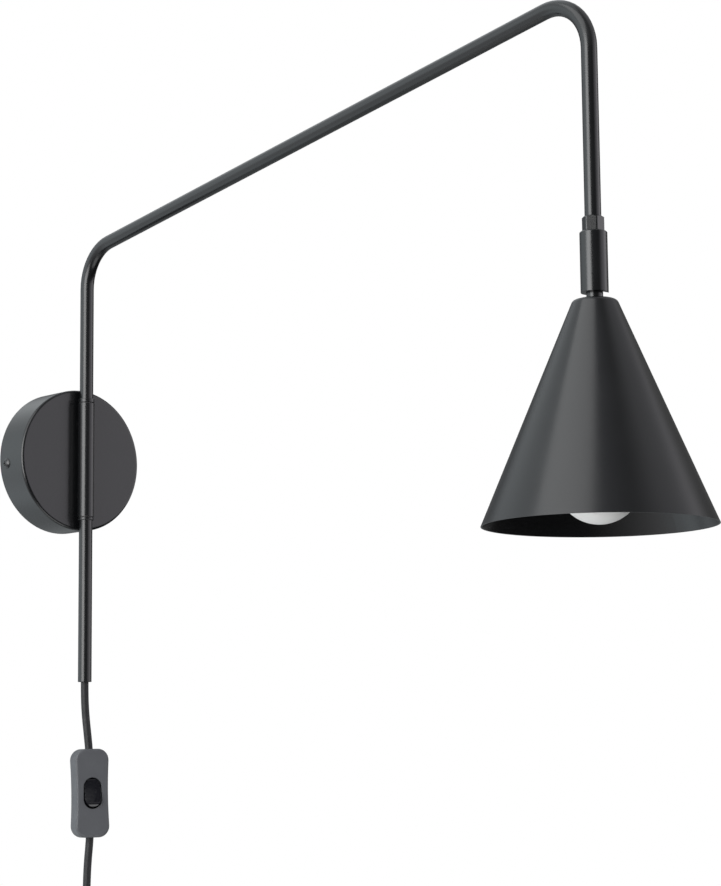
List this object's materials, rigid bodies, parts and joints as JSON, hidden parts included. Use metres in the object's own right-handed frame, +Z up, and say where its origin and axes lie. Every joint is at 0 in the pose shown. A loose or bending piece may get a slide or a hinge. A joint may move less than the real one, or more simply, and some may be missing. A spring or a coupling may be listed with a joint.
{
  "type": "swing arm wall sconce",
  "caption": "Black wall light: a bent tube arm swings in a sleeve on a round canopy and carries a tilting cone shade, with an inline rocker switch and a plug-in cord.",
  "frame": {"origin": "centre of the canopy's back, on the wall plane", "axes": "+Y into the wall, so the lamp stands out toward -Y; +Z up; +X to the right seen from the room"},
  "size_m": [0.1456, 0.6458, 0.7789],
  "materials": {
    "black_metal": "satin black powder coat",
    "black_screw": "black passivated steel",
    "zinc_steel": "zinc plated",
    "nylon": "black nylon",
    "cord_jacket": "matt black flexible jacket",
    "tie_strap": "woven black strap",
    "switch_plastic": "fine-textured moulded black",
    "rocker_plastic": "gloss black",
    "plug_plastic": "satin moulded black",
    "brass": "bright",
    "holder_plastic": "moulded black",
    "wire_insulation": "thin coloured insulation",
    "bulb_cap_metal": "rolled sheet",
    "bulb_frosted_glass": "frosted white"
  },
  "bodies": {
    "wall_mount": {"wall_bracket": "zinc_steel", "canopy_cover": "black_metal", "canopy_side_screws": "black_screw", "hinge_sleeve": "black_metal", "sleeve_washers": "zinc_steel", "sleeve_nuts": "zinc_steel", "sleeve_thrust_washers": "nylon", "cord_to_switch": "cord_jacket", "cord_to_coil": "cord_jacket", "cord_coil": "cord_jacket", "cord_to_plug": "cord_jacket", "coil_ties": "tie_strap", "switch_front_shell": "switch_plastic", "switch_back_shell": "switch_plastic", "switch_screws": "zinc_steel", "switch_terminals": "brass", "switch_contact_blade": "brass", "plug_strain_relief": "plug_plastic", "plug_body": "plug_plastic", "plug_pins": "brass"},
    "arm": {"arm_tube": "black_metal", "arm_support_collar": "black_metal", "arm_retaining_ring": "black_metal", "cord_grommet": "cord_jacket", "arm_wiring": "cord_jacket", "arm_end_nut": "black_metal", "swivel_nipple": "zinc_steel", "nipple_lock_nut": "zinc_steel"},
    "swivel": {"swivel_housing": "black_metal", "swivel_washers": "nylon", "friction_cup": "nylon", "friction_spring": "zinc_steel"},
    "shade_head": {"ball_stem": "black_metal", "shade": "black_metal", "shade_washer": "zinc_steel", "shade_lock_nut": "zinc_steel", "lampholder_cap": "holder_plastic", "lampholder_body": "holder_plastic", "lampholder_contact_block": "holder_plastic", "lampholder_screw_shell": "brass", "lampholder_centre_contact": "brass", "head_wires": "wire_insulation", "bulb_cap": "bulb_cap_metal", "bulb_contact": "bulb_cap_metal", "bulb_glass": "bulb_frosted_glass"},
    "rocker": {"switch_rocker": "rocker_plastic"}
  },
  "joints": [
    {"name": "arm_swing", "type": "hinge", "parent": "wall_mount", "child": "arm", "pos_m": [0, -0.0365, 0], "axis": [0, 0, 1], "range_deg": [-85, 85]},
    {"name": "head_swivel", "type": "hinge", "parent": "arm", "child": "swivel", "pos_m": [0, -0.573, 0.07], "axis": [0, 0, 1], "range_deg": [-175, 175]},
    {"name": "head_tilt", "type": "hinge", "parent": "swivel", "child": "shade_head", "pos_m": [0, -0.573, 0.0536], "axis": [0, -1, 0], "range_deg": [0, 90]},
    {"name": "switch_press", "type": "hinge", "parent": "wall_mount", "child": "rocker", "pos_m": [0.00202, -0.04332, -0.2564], "axis": [0.9562, -0.2923, 0.0175], "range_deg": [0, 20]}
  ]
}
